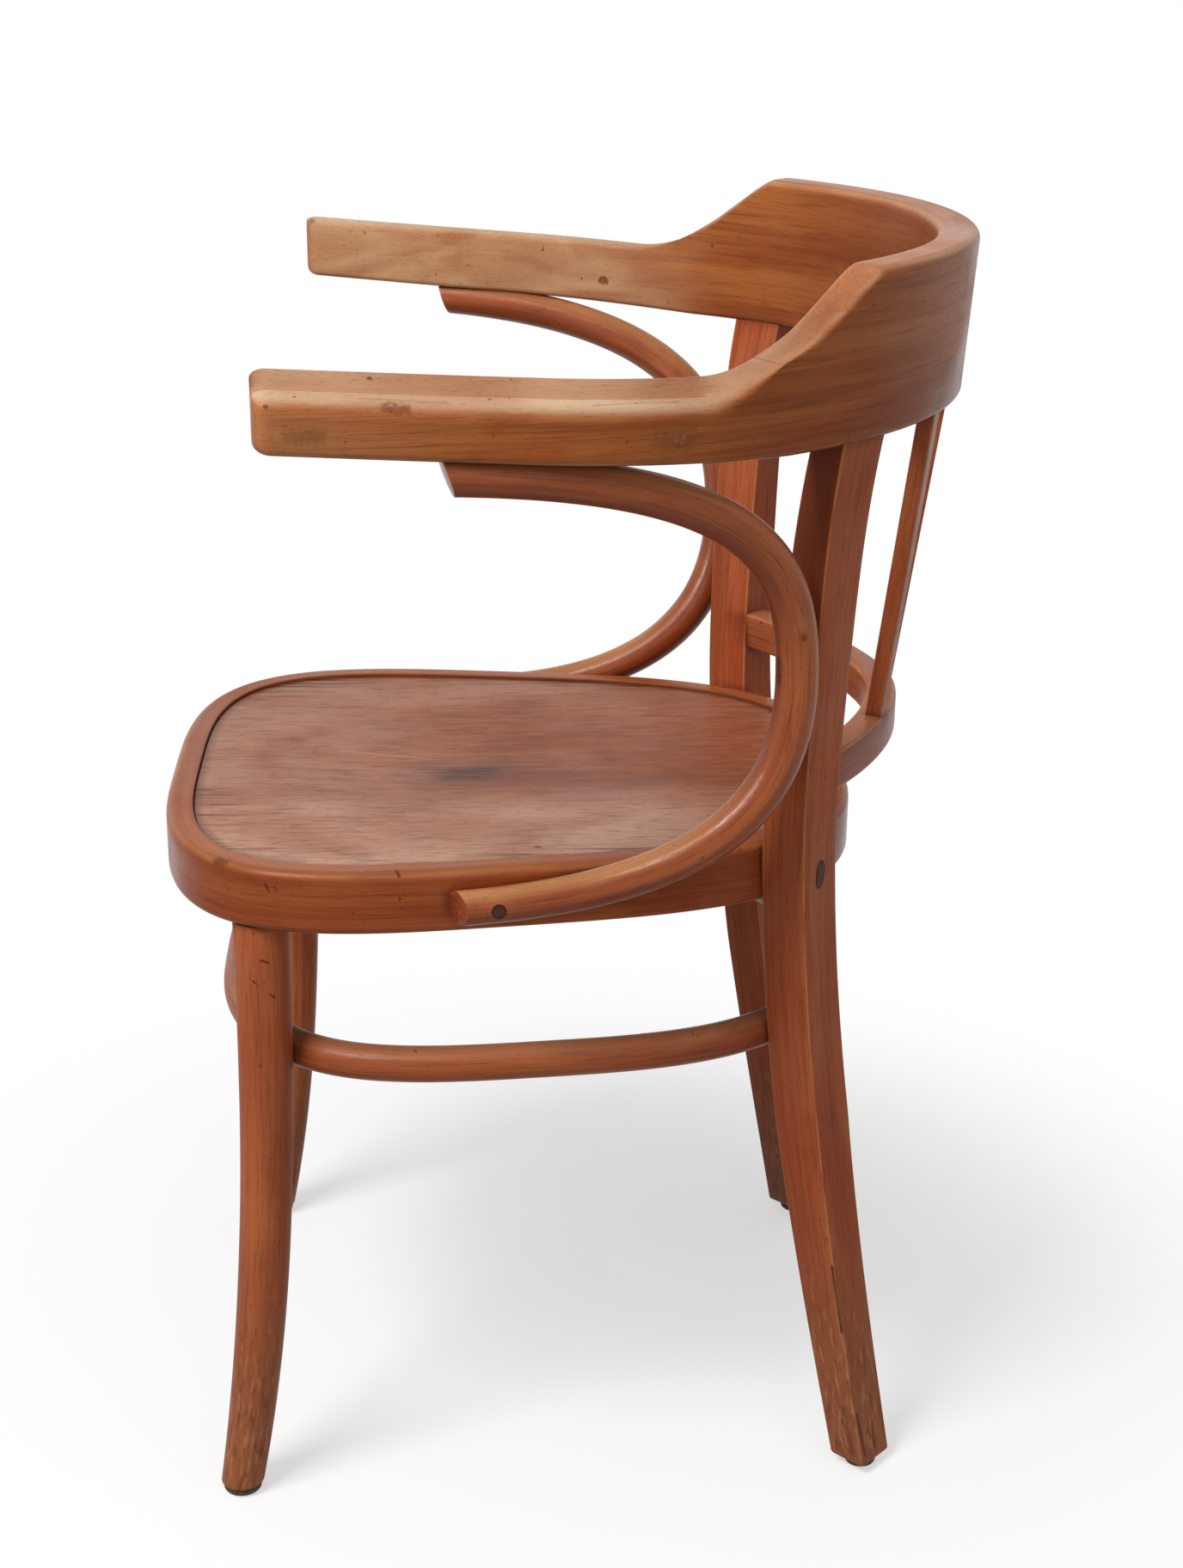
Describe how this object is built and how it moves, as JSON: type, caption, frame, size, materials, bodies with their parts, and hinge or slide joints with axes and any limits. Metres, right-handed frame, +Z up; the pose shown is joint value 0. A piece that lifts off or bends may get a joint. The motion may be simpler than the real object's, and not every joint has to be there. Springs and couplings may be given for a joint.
{
  "type": "bistro chair",
  "caption": "Bentwood bistro armchair: a bent arm bow with a glued crest, housed back posts, arm hoops, a dished seat in a bent ring, a ring stretcher and swept front legs.",
  "frame": {"origin": "on the floor, under the middle of the chair's bounding box", "axes": "+Z up; the sitter faces -Y, with the left arm at +X"},
  "size_m": [0.6134, 0.5114, 0.8],
  "materials": {
    "arm_wood": "worn satin varnish on beech, rubbed pale along the arms",
    "frame_wood": "red-brown stain and satin varnish on beech",
    "seat_wood": "red-brown stain on a plywood panel, worn and spotted",
    "plug_wood": "dark stained end grain",
    "screw_steel": "dull steel",
    "glide_rubber": "worn dark rubber"
  },
  "bodies": {
    "root": {"arm_bow": "arm_wood", "crest_rail": "arm_wood", "seat_ring": "frame_wood", "seat_panel": "seat_wood", "lower_back_rail": "frame_wood", "stretcher_ring": "frame_wood", "back_spindle_1": "frame_wood", "back_spindle_2": "frame_wood", "back_spindle_3": "frame_wood", "back_post_left": "frame_wood", "front_leg_left": "frame_wood", "arm_hoop_left": "frame_wood", "post_dowel_left": "plug_wood", "post_plug_left": "plug_wood", "hoop_plug_left": "plug_wood", "arm_pin_left": "plug_wood", "post_screw_left": "screw_steel", "hoop_seat_screw_left": "screw_steel", "hoop_arm_screw_left": "screw_steel", "hoop_post_screw_left": "screw_steel", "stretcher_screw_front_left": "screw_steel", "glide_front_left": "glide_rubber", "stretcher_screw_back_left": "screw_steel", "glide_back_left": "glide_rubber", "back_post_right": "frame_wood", "front_leg_right": "frame_wood", "arm_hoop_right": "frame_wood", "post_dowel_right": "plug_wood", "post_plug_right": "plug_wood", "hoop_plug_right": "plug_wood", "arm_pin_right": "plug_wood", "post_screw_right": "screw_steel", "hoop_seat_screw_right": "screw_steel", "hoop_arm_screw_right": "screw_steel", "hoop_post_screw_right": "screw_steel", "stretcher_screw_front_right": "screw_steel", "glide_front_right": "glide_rubber", "stretcher_screw_back_right": "screw_steel", "glide_back_right": "glide_rubber"}
  },
  "joints": []
}
